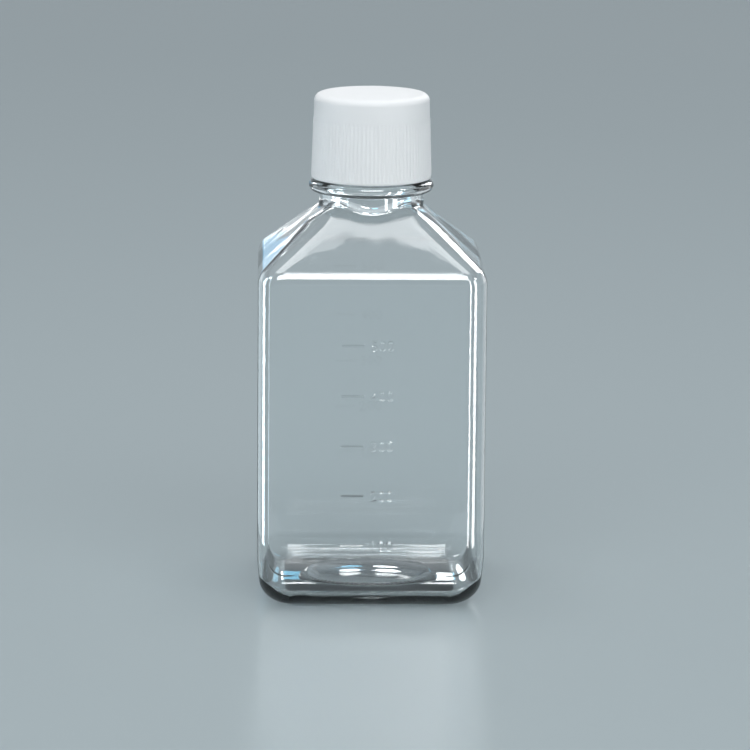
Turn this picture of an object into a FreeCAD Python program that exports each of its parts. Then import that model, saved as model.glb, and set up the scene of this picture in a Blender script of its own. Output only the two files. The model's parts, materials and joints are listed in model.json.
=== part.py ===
"""Square media bottle with a screw cap and a sealing liner, in millimetres.

The bottle stands on its base at z = 0 with its axis on Z. Its graduated face
looks towards -Y. The cap is drawn screwed down.
"""

import FreeCAD
import Part
import math
import os

# ---- bottle body -----------------------------------------------------------
BODY_WIDTH = 76.0          # across two opposite flat sides
CORNER_R = 7.0             # upright corners
SIDE_HEIGHT = 112.5        # base to the line where a side would meet the shoulder
SHOULDER_SLOPE = 41.5      # degrees from level
SHOULDER_EDGE_R = 6.5      # rounding between a side and the shoulder
SHOULDER_TOP_CORNER_R = 10.0
HEEL_HEIGHT = 17.0         # where the sides begin to draw in above the base
HEEL_INSET = 1.4           # how far they draw in
HEEL_CURVE = 1.25          # 1 draws them in along a straight line
HEEL_STEPS = (0.6, 0.8)    # levels between the base and the heel's top, as shares
HEEL_CORNER_R = 11.5       # corner radius at the base
HEEL_EDGE_R = 9.0          # rounding between a side and the base
WALL = 1.0
BASE_WALL = 2.7

# ---- push-up in the base ---------------------------------------------------
PUSH_UP_FROM_SIDE = 16.4   # from a flat side in to the circle where the dome begins
PUSH_UP_RIM_HEIGHT = 1.9
PUSH_UP_HEIGHT = 3.6       # at the middle of the dome
PUSH_UP_FLANK = 1.3        # width of the slope between the base and the circle
KNURL_COUNT = 72
KNURL_LENGTH = 2.4
KNURL_WIDTH = 0.8
KNURL_HEIGHT = 0.35
KNURL_MARGIN = 0.6         # from the circle to the knurls

# ---- neck, support ring and thread -----------------------------------------
NECK_R = 17.65             # outside of the neck, also the root of its thread
NECK_WALL = 2.05
NECK_FOOT_R = 1.5          # rounding where the neck leaves the shoulder
NECK_BELOW_RING = 1.0      # neck that shows between the shoulder and the ring
RING_REACH = 3.35          # beyond the neck
RING_THICKNESS = 4.0
NECK_ABOVE_RING = 26.5     # support ring to the lip
LIP_EDGE_R = 0.6
PITCH = 25.4 / 6           # six threads to the inch
THREAD_TURNS = 2.6         # with the fading ends
THREAD_HEIGHT = 1.0
THREAD_ROOT_WIDTH = 2.3
THREAD_CREST_WIDTH = 1.1
THREAD_FROM_LIP = 4.0      # lip to the top of the thread

# ---- cap and liner ---------------------------------------------------------
CAP_WALL = 1.25            # at the foot, behind the thread
CAP_DRAFT = 0.85           # narrower by this at the top
CAP_EDGE_R = 2.4
CAP_FOOT_EDGE_R = 0.4
CAP_TOP_THICKNESS = 1.6
CAP_BAND = 8.2             # smooth band above the ribs
CAP_FOOT_BAND = 0.9        # smooth band below the ribs
RIB_COUNT = 90
RIB_DEPTH = 0.32           # valley to crest
RIB_RAISED = 0.12          # crest beyond the smooth band
CAP_THREAD_HEIGHT = 1.0
CAP_THREAD_ROOT_WIDTH = 2.0
CAP_THREAD_CREST_WIDTH = 0.9
CAP_THREAD_TURNS = 2.5
LINER_THICKNESS = 0.9

# ---- clearances ------------------------------------------------------------
CAP_TO_RING = 0.45
THREAD_RADIAL_GAP = 0.25   # crest of one thread to the root of the other
THREAD_FLANK_GAP = 0.3     # along the axis, between the loaded flanks
LINER_GAP = 0.2            # round the liner, inside the cap
CAP_TOP_BORE_GAP = 0.5     # round the neck, above the cap's thread
MARK_TO_SHOULDER = 6.0     # least height left above the topmost mark

# ---- graduations on the front face ------------------------------------------
MARKS = ("100", "200", "300", "400", "500")
MARK_FIRST_Z = 21.9
MARK_STEP = 17.0
MARK_BAR_LENGTH = 8.0
MARK_BAR_X = -10.5
DIGIT_X = -1.4
DIGIT_HEIGHT = 3.3
DIGIT_PITCH = 3.3
STROKE = 0.5
EMBOSS = 0.22
SUNK = 0.4                 # how far a mark is rooted in the wall

# ---- worked out ------------------------------------------------------------
HALF = BODY_WIDTH / 2
PUSH_UP_R = HALF - PUSH_UP_FROM_SIDE
NECK_BORE_R = NECK_R - NECK_WALL
RING_R = NECK_R + RING_REACH
SLOPE = math.radians(SHOULDER_SLOPE)
RIDGE_REACH = NECK_R * math.cos(math.radians(45))
NECK_MEETS_RIDGE = SIDE_HEIGHT + (HALF - RIDGE_REACH) * math.tan(SLOPE)
RING_BOTTOM = NECK_MEETS_RIDGE + NECK_BELOW_RING
RING_TOP = RING_BOTTOM + RING_THICKNESS
LIP = RING_TOP + NECK_ABOVE_RING
CAP_FOOT = RING_TOP + CAP_TO_RING
ROOF = LIP + LINER_THICKNESS
CAP_TOP = ROOF + CAP_TOP_THICKNESS
LINER_R = NECK_R + CAP_TOP_BORE_GAP - LINER_GAP
CAP_TOP_BORE_R = NECK_R + CAP_TOP_BORE_GAP
THREAD_CREST_R = NECK_R + THREAD_HEIGHT
CAP_ROOT_R = THREAD_CREST_R + THREAD_RADIAL_GAP
CAP_CREST_R = CAP_ROOT_R - CAP_THREAD_HEIGHT
CAP_FOOT_R = CAP_ROOT_R + CAP_WALL
CAP_TOP_R = CAP_FOOT_R - CAP_DRAFT
THREAD_TOP = LIP - THREAD_FROM_LIP
THREAD_START = THREAD_TOP + THREAD_ROOT_WIDTH / 2 - PITCH * THREAD_TURNS
OVERLAP = 0.3              # how far a ridge is rooted in its wall
TRIM = 0.05                # keeps a cutting surface off the surface it meets

UP = FreeCAD.Vector(0, 0, 1)
ORIGIN = FreeCAD.Vector(0, 0, 0)


def rounded_square(half, radius, z):
    """A closed wire of four straight sides and four corner arcs."""
    flat = half - radius
    edges = []
    for quarter in range(4):
        turn = FreeCAD.Rotation(UP, 90 * quarter)
        side = [FreeCAD.Vector(half, -flat, z), FreeCAD.Vector(half, flat, z)]
        middle = FreeCAD.Vector(
            flat + radius * math.cos(math.pi / 4),
            flat + radius * math.sin(math.pi / 4),
            z,
        )
        end = FreeCAD.Vector(flat, half, z)
        side = [turn.multVec(point) for point in side]
        edges.append(Part.LineSegment(*side).toShape())
        arc = Part.Arc(side[1], turn.multVec(middle), turn.multVec(end))
        edges.append(arc.toShape())
    return Part.Wire(edges)


def loft(*wires):
    return Part.makeLoft(list(wires), True, True)


def edges_level_with(shape, z):
    """The edges that lie flat at height z."""
    box_of = [(edge, edge.BoundBox) for edge in shape.Edges]
    return [e for e, b in box_of if abs(b.ZMin - z) < 1e-4 and abs(b.ZMax - z) < 1e-4]


def revolved(points):
    """A solid of revolution about Z from a closed outline of (radius, height)."""
    outline = [FreeCAD.Vector(r, 0, z) for r, z in points]
    face = Part.Face(Part.makePolygon(outline + [outline[0]]))
    return face.revolve(ORIGIN, UP, 360)


def cylinder(radius, low, high):
    return Part.makeCylinder(radius, high - low, FreeCAD.Vector(0, 0, low), UP)


def body_solid(inset, floor):
    """The square body and its shoulder, drawn in from the outside by inset."""
    half = HALF - inset
    edge_drop = inset * (1 - math.sin(SLOPE)) / math.cos(SLOPE)
    edge_z = SIDE_HEIGHT - edge_drop
    top_z = RING_BOTTOM
    top_half = half - (top_z - edge_z) / math.tan(SLOPE)
    wires = []
    for share in (floor / HEEL_HEIGHT, *HEEL_STEPS, 1):
        draw_in = HEEL_INSET * (1 - share) ** HEEL_CURVE
        radius = HEEL_CORNER_R + (CORNER_R - HEEL_CORNER_R) * share - inset
        wires.append(rounded_square(half - draw_in, radius, HEEL_HEIGHT * share))
    wires.append(rounded_square(half, CORNER_R - inset, edge_z))
    top_corner_r = min(SHOULDER_TOP_CORNER_R, 0.9 * top_half)
    wires.append(rounded_square(top_half, top_corner_r, top_z))
    solid = loft(*wires)
    solid = solid.makeFillet(SHOULDER_EDGE_R - inset, edges_level_with(solid, edge_z))
    return solid.makeFillet(HEEL_EDGE_R - inset, edges_level_with(solid, floor))


def push_up(lift):
    """What the push-up takes out of the base, raised by lift."""
    rim_r = PUSH_UP_R
    foot_r = PUSH_UP_R + PUSH_UP_FLANK
    rise = PUSH_UP_HEIGHT - PUSH_UP_RIM_HEIGHT
    dome_r = (rim_r ** 2 + rise ** 2) / (2 * rise)
    centre_z = PUSH_UP_HEIGHT - dome_r
    dome = Part.makeSphere(dome_r, FreeCAD.Vector(0, 0, centre_z + lift))
    cone = Part.makeCone(
        foot_r, rim_r, PUSH_UP_RIM_HEIGHT, FreeCAD.Vector(0, 0, lift), UP
    )
    cap_zone = cylinder(rim_r, PUSH_UP_RIM_HEIGHT + lift, PUSH_UP_HEIGHT + lift + 1)
    return cone.fuse(dome.common(cap_zone)).removeSplitter()


def knurls():
    """Short radial ribs under the dome, just inside the circle."""
    outer_r = PUSH_UP_R - KNURL_MARGIN
    inner_r = outer_r - KNURL_LENGTH
    blank = Part.makeBox(
        KNURL_LENGTH,
        KNURL_WIDTH,
        PUSH_UP_HEIGHT,
        FreeCAD.Vector(inner_r, -KNURL_WIDTH / 2, PUSH_UP_RIM_HEIGHT - KNURL_HEIGHT),
    )
    ribs = []
    for number in range(KNURL_COUNT):
        rib = blank.copy()
        rib.rotate(ORIGIN, UP, 360.0 * number / KNURL_COUNT)
        ribs.append(rib)
    return ribs


def half_width(radius, root_r, crest_r, root_width, crest_width):
    """Half the width of a thread ridge at a given radius."""
    share = (radius - root_r) / (crest_r - root_r)
    return (root_width + (crest_width - root_width) * share) / 2


def ridge(root_r, crest_r, root_width, crest_width, turns, start):
    """A helical ridge about Z whose middle line starts at height start.

    Both ends fade out along a slope.
    """
    rise = PITCH * turns
    way = 1 if crest_r > root_r else -1
    foot_r = root_r - way * OVERLAP
    foot = half_width(foot_r, root_r, crest_r, root_width, crest_width)
    crest = crest_width / 2
    corners = [(foot_r, -foot), (crest_r, -crest), (crest_r, crest), (foot_r, foot)]
    outline = [FreeCAD.Vector(r, 0, height) for r, height in corners]
    profile = Part.makePolygon(outline + [outline[0]])
    helix = Part.makeHelix(PITCH, rise, foot_r)
    swept = Part.Wire(helix).makePipeShell([profile], True, True)
    swept.translate(FreeCAD.Vector(0, 0, start))
    low = start + foot
    high = start + rise - foot
    clear_r = crest_r + way * TRIM
    deep_r = foot_r - way * TRIM
    slope = abs(clear_r - deep_r)
    sleeve = [(deep_r, low), (clear_r, low + slope), (clear_r, high - slope), (deep_r, high)]
    return swept.common(revolved(sleeve))


def thread_drop():
    """How far the cap's ridge lies below the neck's, with the cap screwed down."""
    neck = (NECK_R, THREAD_CREST_R, THREAD_ROOT_WIDTH, THREAD_CREST_WIDTH)
    inner = (CAP_ROOT_R, CAP_CREST_R, CAP_THREAD_ROOT_WIDTH, CAP_THREAD_CREST_WIDTH)
    both = [
        half_width(r, *neck) + half_width(r, *inner)
        for r in (CAP_CREST_R, THREAD_CREST_R)
    ]
    return max(both) + THREAD_FLANK_GAP


def support_ring():
    """A bead with a full round edge."""
    round_r = RING_THICKNESS / 2
    middle = RING_BOTTOM + round_r
    edge = Part.makeTorus(RING_R - round_r, round_r, FreeCAD.Vector(0, 0, middle), UP)
    web = cylinder(RING_R - round_r, RING_BOTTOM, RING_TOP)
    return web.fuse(edge).removeSplitter()


def bar(start, end):
    """A stroke between two points of the drawing plane, with round ends."""
    run = math.hypot(end[0] - start[0], end[1] - start[1])
    depth = SUNK + EMBOSS
    box = Part.makeBox(run, STROKE, depth, FreeCAD.Vector(0, -STROKE / 2, 0))
    angle = math.degrees(math.atan2(end[1] - start[1], end[0] - start[0]))
    box.rotate(ORIGIN, UP, angle)
    box.translate(FreeCAD.Vector(start[0], start[1], 0))
    ends = [
        Part.makeCylinder(STROKE / 2, depth, FreeCAD.Vector(u, v, 0), UP)
        for u, v in (start, end)
    ]
    return box.multiFuse(ends)


def bow(centre, radius, start, sweep):
    """A curved stroke of the drawing plane, from start degrees through sweep."""
    depth = SUNK + EMBOSS
    outer = Part.makeCylinder(radius + STROKE / 2, depth, ORIGIN, UP, sweep)
    inner = Part.makeCylinder(radius - STROKE / 2, depth, ORIGIN, UP)
    piece = outer.cut(inner)
    piece.rotate(ORIGIN, UP, start)
    piece.translate(FreeCAD.Vector(centre[0], centre[1], 0))
    return piece


def lozenge(centre, width, height):
    """A block with straight sides and half-round top and bottom."""
    depth = SUNK + EMBOSS
    radius = width / 2
    rise = height / 2 - radius
    corner = FreeCAD.Vector(centre[0] - radius, centre[1] - rise, 0)
    block = Part.makeBox(width, 2 * rise, depth, corner)
    ends = [
        Part.makeCylinder(radius, depth, FreeCAD.Vector(centre[0], v, 0), UP)
        for v in (centre[1] - rise, centre[1] + rise)
    ]
    return block.multiFuse(ends).removeSplitter()


def nought(u, v):
    """The digit 0 in the box whose lower left corner is at (u, v)."""
    centre = (u + 0.35 * DIGIT_HEIGHT, v + 0.5 * DIGIT_HEIGHT)
    wide = 0.7 * DIGIT_HEIGHT
    outer = lozenge(centre, wide + STROKE, DIGIT_HEIGHT + STROKE)
    return outer.cut(lozenge(centre, wide - STROKE, DIGIT_HEIGHT - STROKE))


# Strokes of the other digits, in units of the digit's height: straight strokes
# as pairs of points, curved ones as centre, radius, start angle and sweep.
DIGIT_STROKES = {
    "1": ([((0.4, 0), (0.4, 1)), ((0.4, 1), (0.15, 0.78))], []),
    "2": (
        [((0.62, 0.45), (0, 0)), ((0, 0), (0.7, 0))],
        [((0.35, 0.65), 0.35, -36, 206)],
    ),
    "3": (
        [],
        [((0.35, 0.73), 0.27, -90, 240), ((0.35, 0.24), 0.27, -150, 240)],
    ),
    "4": (
        [((0.5, 0), (0.5, 1)), ((0.5, 1), (0, 0.3)), ((0, 0.3), (0.7, 0.3))],
        [],
    ),
    "5": (
        [((0.65, 1), (0.12, 1)), ((0.12, 1), (0.09, 0.54))],
        [((0.34, 0.32), 0.33, -140, 278)],
    ),
}


def digit_solids(digit, u, v):
    """The solids of one digit whose lower left corner is at (u, v)."""
    if digit == "0":
        return [nought(u, v)]
    bars, bows = DIGIT_STROKES[digit]
    place = lambda a, b: (u + DIGIT_HEIGHT * a, v + DIGIT_HEIGHT * b)
    solids = [bar(place(*start), place(*end)) for start, end in bars]
    for centre, radius, start, sweep in bows:
        solids.append(bow(place(*centre), DIGIT_HEIGHT * radius, start, sweep))
    return [solids[0].multiFuse(solids[1:]).removeSplitter()]


def graduation(text, z):
    """A level bar and its number, raised on the front face at height z."""
    solids = [bar((MARK_BAR_X, 0), (MARK_BAR_X + MARK_BAR_LENGTH, 0))]
    for number, digit in enumerate(text):
        solids += digit_solids(digit, DIGIT_X + DIGIT_PITCH * number, -DIGIT_HEIGHT / 2)
    for solid in solids:
        solid.translate(FreeCAD.Vector(0, 0, -SUNK))
        solid.rotate(ORIGIN, FreeCAD.Vector(1, 0, 0), 90)
        solid.translate(FreeCAD.Vector(0, -HALF, z))
    return solids


def neck_foot(shape):
    """The edges where the round neck leaves the sloping shoulder."""
    found = []
    for edge in shape.Edges:
        low, high = edge.BoundBox.ZMin, edge.BoundBox.ZMax
        if high - low < 1e-3 or low < SIDE_HEIGHT or high > RING_BOTTOM:
            continue
        samples = [edge.valueAt(edge.FirstParameter), edge.valueAt(edge.LastParameter)]
        if all(abs(math.hypot(p.x, p.y) - NECK_R) < 1e-3 for p in samples):
            found.append(edge)
    return found


def bottle():
    outside = body_solid(0, 0)
    outside = outside.fuse(cylinder(NECK_R, SIDE_HEIGHT, RING_BOTTOM))
    outside = outside.removeSplitter()
    outside = outside.makeFillet(NECK_FOOT_R, neck_foot(outside))
    neck = cylinder(NECK_R, RING_BOTTOM, LIP)
    neck = neck.makeFillet(LIP_EDGE_R, edges_level_with(neck, LIP))
    outside = outside.fuse([support_ring(), neck]).removeSplitter()
    thread = ridge(
        NECK_R,
        THREAD_CREST_R,
        THREAD_ROOT_WIDTH,
        THREAD_CREST_WIDTH,
        THREAD_TURNS,
        THREAD_START,
    )
    outside = outside.fuse(thread)
    hollow = body_solid(WALL, BASE_WALL)
    hollow = hollow.fuse(cylinder(NECK_BORE_R, SIDE_HEIGHT, LIP + 1)).removeSplitter()
    hollow = hollow.cut(push_up(BASE_WALL))
    shell = outside.cut(push_up(0)).cut(hollow)
    dome_zone = cylinder(PUSH_UP_R, PUSH_UP_RIM_HEIGHT - KNURL_HEIGHT, PUSH_UP_HEIGHT)
    ribs = [rib.common(dome_zone).cut(hollow) for rib in knurls()]
    top_mark = SIDE_HEIGHT - MARK_TO_SHOULDER
    marks = []
    for number, text in enumerate(MARKS):
        z = MARK_FIRST_Z + MARK_STEP * number
        if z <= top_mark:
            marks += graduation(text, z)
    return shell.fuse(ribs + marks).removeSplitter()


def ribbed_sleeve(low, high):
    """The outside of the cap's ribbed stretch, drafted like the cap."""
    wires = []
    for z in (low, high):
        radius = cap_radius(z)
        points = []
        for step in range(2 * RIB_COUNT):
            angle = math.pi * step / RIB_COUNT
            r = radius + (RIB_RAISED if step % 2 else RIB_RAISED - RIB_DEPTH)
            points.append(FreeCAD.Vector(r * math.cos(angle), r * math.sin(angle), z))
        wires.append(Part.makePolygon(points + [points[0]]))
    return loft(*wires)


def cap_radius(z):
    """The cap's outside radius at height z."""
    share = (z - CAP_FOOT) / (CAP_TOP - CAP_FOOT)
    return CAP_FOOT_R + (CAP_TOP_R - CAP_FOOT_R) * share


def cap():
    outside = Part.makeCone(
        CAP_FOOT_R, CAP_TOP_R, CAP_TOP - CAP_FOOT, FreeCAD.Vector(0, 0, CAP_FOOT), UP
    )
    outside = outside.makeFillet(CAP_EDGE_R, edges_level_with(outside, CAP_TOP))
    outside = outside.makeFillet(CAP_FOOT_EDGE_R, edges_level_with(outside, CAP_FOOT))
    rib_low = CAP_FOOT + CAP_FOOT_BAND
    rib_high = CAP_TOP - CAP_BAND
    sleeve = ribbed_sleeve(rib_low, rib_high)
    stencil = cylinder(CAP_FOOT_R + 1, rib_low, rib_high).cut(sleeve)
    outside = outside.cut(stencil)
    thread_from = THREAD_START - thread_drop()
    thread_top = thread_from + PITCH * CAP_THREAD_TURNS - CAP_THREAD_ROOT_WIDTH / 2
    step_z = max(thread_top, THREAD_TOP) + THREAD_RADIAL_GAP
    bore = cylinder(CAP_ROOT_R, CAP_FOOT, step_z)
    bore = bore.fuse(cylinder(CAP_TOP_BORE_R, CAP_FOOT, ROOF)).removeSplitter()
    shell = outside.cut(bore)
    thread = ridge(
        CAP_ROOT_R,
        CAP_CREST_R,
        CAP_THREAD_ROOT_WIDTH,
        CAP_THREAD_CREST_WIDTH,
        CAP_THREAD_TURNS,
        thread_from,
    )
    return shell.fuse(thread).removeSplitter()


def cap_liner():
    return cylinder(LINER_R, LIP, ROOF)


def write(name, shape):
    solids = len(shape.Solids)
    if solids != 1 or not shape.isValid():
        raise RuntimeError("%s came out as %d solids" % (name, solids))
    shape.Solids[0].exportStep("parts/%s.step" % name)
    size = shape.BoundBox
    print(
        "%-10s %9.1f mm3  z %7.2f to %7.2f  faces %d"
        % (name, shape.Volume, size.ZMin, size.ZMax, len(shape.Faces))
    )


os.makedirs("parts", exist_ok=True)
write("bottle", bottle())
write("cap", cap())
write("cap_liner", cap_liner())
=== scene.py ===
"""A clear square media bottle with a ribbed screw cap, in a plain studio.

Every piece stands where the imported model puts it. Lengths are in metres, Z is up
and the bottle's graduated face looks towards -Y.
"""

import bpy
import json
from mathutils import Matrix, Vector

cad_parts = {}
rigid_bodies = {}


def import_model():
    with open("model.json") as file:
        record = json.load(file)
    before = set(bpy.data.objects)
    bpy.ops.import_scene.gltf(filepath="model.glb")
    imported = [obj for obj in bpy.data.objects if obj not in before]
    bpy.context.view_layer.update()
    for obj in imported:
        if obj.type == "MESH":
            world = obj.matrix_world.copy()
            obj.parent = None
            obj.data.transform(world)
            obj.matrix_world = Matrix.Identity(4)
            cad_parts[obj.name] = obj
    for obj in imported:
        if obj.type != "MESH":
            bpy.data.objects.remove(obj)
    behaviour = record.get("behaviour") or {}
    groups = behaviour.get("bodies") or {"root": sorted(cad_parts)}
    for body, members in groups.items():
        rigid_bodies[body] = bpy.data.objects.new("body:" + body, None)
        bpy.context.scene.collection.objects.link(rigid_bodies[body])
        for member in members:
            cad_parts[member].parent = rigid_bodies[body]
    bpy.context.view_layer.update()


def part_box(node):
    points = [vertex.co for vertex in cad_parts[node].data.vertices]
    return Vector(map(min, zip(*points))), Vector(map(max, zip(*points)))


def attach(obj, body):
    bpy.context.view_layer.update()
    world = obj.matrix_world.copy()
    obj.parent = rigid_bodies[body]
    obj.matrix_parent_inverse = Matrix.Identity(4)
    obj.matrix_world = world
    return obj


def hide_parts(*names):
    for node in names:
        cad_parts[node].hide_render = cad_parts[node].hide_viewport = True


bl_info = {
    "name": "Square media bottle",
    "version": (1, 0, 0),
    "blender": (4, 5, 0),
    "location": "3D View > Sidebar > Bottle",
    "description": "A clear square bottle, its ribbed cap and liner, and a plain studio",
    "category": "Object",
}

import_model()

import bmesh
import bpy
import json
import math
from bpy.props import FloatProperty, FloatVectorProperty, IntProperty, PointerProperty
from mathutils import Matrix, Vector, noise

BOTTLE_LOW, BOTTLE_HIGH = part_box("bottle")
CAP_LOW, CAP_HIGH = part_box("cap")
LINER_LOW, LINER_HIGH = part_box("cap_liner")
MM = 0.001


def length(name, description, default):
    """A setting in metres."""
    return FloatProperty(name=name, description=description, default=default, unit="LENGTH", precision=5)


def colour(name, description, default):
    """A setting that holds a colour."""
    return FloatVectorProperty(
        name=name, description=description, default=default, subtype="COLOR", min=0, max=1
    )


# ---- sizes and colours -----------------------------------------------------


class BodySizes(bpy.types.PropertyGroup):
    """The square body, its shoulder and its heel."""

    width: length("Width", "Across two flat sides", BOTTLE_HIGH.x - BOTTLE_LOW.x)
    corner: length("Corner radius", "Rounding of the upright corners", 7 * MM)
    side_height: length("Side height", "Base to the line where a side meets the shoulder", 112.5 * MM)
    slope: FloatProperty(
        name="Shoulder slope",
        description="Angle of the shoulder from level",
        default=math.radians(41.5),
        subtype="ANGLE",
    )
    shoulder_edge: length("Shoulder edge radius", "Rounding between side and shoulder", 6.5 * MM)
    ridge: length("Ridge radius", "Corner rounding where the shoulder would end", 10 * MM)
    heel_height: length("Heel height", "Where the sides begin to draw in", 17 * MM)
    heel_inset: length("Heel inset", "How far the sides draw in at the base", 1.4 * MM)
    heel_corner: length("Heel corner radius", "Rounding of the upright corners at the base", 11.5 * MM)
    heel_edge: length("Heel edge radius", "Rounding between side and base", 9 * MM)
    wall: length("Wall", "Thickness of the sides and shoulder", 1 * MM)
    base_wall: length("Base wall", "Thickness of the base", 2.7 * MM)
    seam: length("Parting line", "How far the mould's parting line stands proud", 0.05 * MM)
    weld: length("Base weld", "Height of the weld inside the base", 0.45 * MM)


class PushUpSizes(bpy.types.PropertyGroup):
    """The raised middle of the base."""

    radius: length("Radius", "Circle where the dome begins", 21.6 * MM)
    rim_height: length("Rim height", "Height of that circle above the base", 1.9 * MM)
    height: length("Height", "Height of the dome's middle", 3.6 * MM)
    flank: length("Flank", "Width of the slope up to the circle", 1.3 * MM)
    knurls: IntProperty(name="Knurls", description="Number of short ribs round the dome", default=72)
    knurl_length: length("Knurl length", "Length of a rib along the radius", 2.4 * MM)
    knurl_depth: length("Knurl depth", "How far a rib stands out of the dome", 0.35 * MM)
    knurl_margin: length("Knurl margin", "From the circle to the ribs", 0.6 * MM)


class NeckSizes(bpy.types.PropertyGroup):
    """The neck, its support ring and its thread."""

    lip: length("Lip height", "Base to the sealing face", BOTTLE_HIGH.z)
    radius: length("Radius", "Outside of the neck", 17.65 * MM)
    bore: length("Bore radius", "Inside of the neck", 15.6 * MM)
    foot: length("Foot radius", "Rounding where the neck leaves the shoulder", 1.5 * MM)
    lip_edge: length("Lip edge radius", "Rounding of the lip's edges", 0.6 * MM)
    above_ring: length("Above the ring", "Support ring to lip", 26.5 * MM)
    ring: length("Ring radius", "Outside of the support ring", 21 * MM)
    ring_thickness: length("Ring thickness", "Support ring, top to bottom", 4 * MM)
    pitch: length("Pitch", "Rise of the thread in one turn", 25.4 / 6 * MM)
    thread_turns: FloatProperty(name="Thread turns", description="Length of the thread", default=2.6)
    thread_height: length("Thread height", "How far the thread stands out of the neck", 1 * MM)
    thread_root: length("Thread root", "Width of the thread at the neck", 2.3 * MM)
    thread_crest: length("Thread crest", "Width of the thread at its crest", 1.1 * MM)
    thread_from_lip: length("Thread from lip", "Lip to the top of the thread", 4 * MM)


class MarkSizes(bpy.types.PropertyGroup):
    """The raised graduations on the front face."""

    first: length("First mark", "Height of the lowest mark", 21.9 * MM)
    step: length("Step", "From one mark to the next", 17 * MM)
    count: IntProperty(name="Count", description="Number of marks", default=5)
    volume: IntProperty(name="Volume", description="Millilitres from one mark to the next", default=100)
    bar: length("Bar", "Length of a mark's bar", 8.0 * MM)
    bar_from: length("Bar start", "Left end of the bars", -10.5 * MM)
    digits_from: length("Digits start", "Left edge of the numbers", -0.6 * MM)
    digit_height: length("Digit height", "Height of a number", 3.3 * MM)
    stroke: length("Stroke", "Thickness of a bar", 0.5 * MM)
    flank: length("Flank", "Width of a mark's sloping sides", 0.27 * MM)
    emboss: length("Emboss", "How far a mark stands proud", -BOTTLE_LOW.y - BOTTLE_HIGH.y)


class CapSizes(bpy.types.PropertyGroup):
    """The screw cap."""

    foot: length("Foot", "Height of the cap's lower edge", CAP_LOW.z)
    top: length("Top", "Height of the cap's top face", CAP_HIGH.z)
    foot_radius: length("Foot radius", "Outside of the cap at its foot", 20.15 * MM)
    draft: length("Draft", "How much narrower the cap is at its top", 0.85 * MM)
    edge: length("Top edge radius", "Rounding of the top edge", 2.4 * MM)
    foot_edge: length("Foot edge radius", "Rounding of the lower edge", 0.4 * MM)
    band: length("Top band", "Smooth band above the ribs", 8.2 * MM)
    foot_band: length("Foot band", "Smooth band below the ribs", 0.9 * MM)
    ribs: IntProperty(name="Ribs", description="Number of ribs round the cap", default=90)
    rib_depth: length("Rib depth", "Valley to crest of a rib", 0.32 * MM)
    rib_raised: length("Rib raised", "Crest of a rib beyond the smooth band", 0.12 * MM)
    root: length("Thread root radius", "Inside of the cap behind its thread", 18.9 * MM)
    top_bore: length("Top bore radius", "Inside of the cap above its thread", 18.15 * MM)
    step: length("Step", "Height where the bore narrows", 162.83 * MM)
    thread_turns: FloatProperty(name="Thread turns", description="Length of the thread", default=2.5)
    thread_height: length("Thread height", "How far the thread stands into the bore", 1 * MM)
    thread_root: length("Thread root", "Width of the thread at the cap's wall", 2 * MM)
    thread_crest: length("Thread crest", "Width of the thread at its crest", 0.9 * MM)
    thread_drop: length("Thread drop", "How far it starts below the neck's thread", 2.12 * MM)


class LinerSizes(bpy.types.PropertyGroup):
    """The sealing disc inside the cap."""

    low: length("Underside", "Height of the face that seals on the lip", LINER_LOW.z)
    high: length("Top", "Height of the face against the cap", LINER_HIGH.z)
    radius: length("Radius", "Outside of the disc", LINER_HIGH.x)
    edge: length("Edge radius", "Rounding of its edges", 0.15 * MM)


class Finishes(bpy.types.PropertyGroup):
    """Colours of the object and of the studio."""

    clear: colour("Clear plastic", "Tint of the bottle", (0.975, 0.992, 0.996))
    cap: colour("Cap", "White of the cap", (0.90, 0.905, 0.91))
    liner: colour("Liner", "White of the liner", (0.80, 0.80, 0.77))
    floor: colour("Floor", "Colour of the floor", (0.42, 0.485, 0.505))


class StudioSettings(bpy.types.PropertyGroup):
    """Where the camera stands and how bright the lamps are."""

    distance: length("Camera distance", "Camera to the bottle's axis, along the floor", 1.60)
    height: length("Camera height", "Camera above the floor", 0.3905)
    aside: length("Camera aside", "Camera to the right of the bottle's axis", 0.0018)
    turn: FloatProperty(
        name="Camera turn",
        description="Camera round the bottle, to the left",
        default=0.026,
        subtype="ANGLE",
    )
    pitch: FloatProperty(
        name="Camera pitch", description="Angle below level", default=0.1961, subtype="ANGLE"
    )
    roll: FloatProperty(
        name="Camera roll", description="Tilt to one side", default=0.0085, subtype="ANGLE"
    )
    lens: FloatProperty(name="Lens", description="Focal length in millimetres", default=231.0)
    floor_size: length("Floor size", "Width of the floor", 16.0)
    lamp: FloatProperty(name="Lamps", description="Brightness of all lamps", default=1.0)
    ambient: FloatProperty(name="Ambient", description="Brightness of the surroundings", default=0.75)


class BottleSettings(bpy.types.PropertyGroup):
    """All settings, kept on the scene."""

    body: PointerProperty(type=BodySizes)
    push_up: PointerProperty(type=PushUpSizes)
    neck: PointerProperty(type=NeckSizes)
    marks: PointerProperty(type=MarkSizes)
    cap: PointerProperty(type=CapSizes)
    liner: PointerProperty(type=LinerSizes)
    finishes: PointerProperty(type=Finishes)
    studio: PointerProperty(type=StudioSettings)


# ---- rings and skins -------------------------------------------------------

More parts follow.
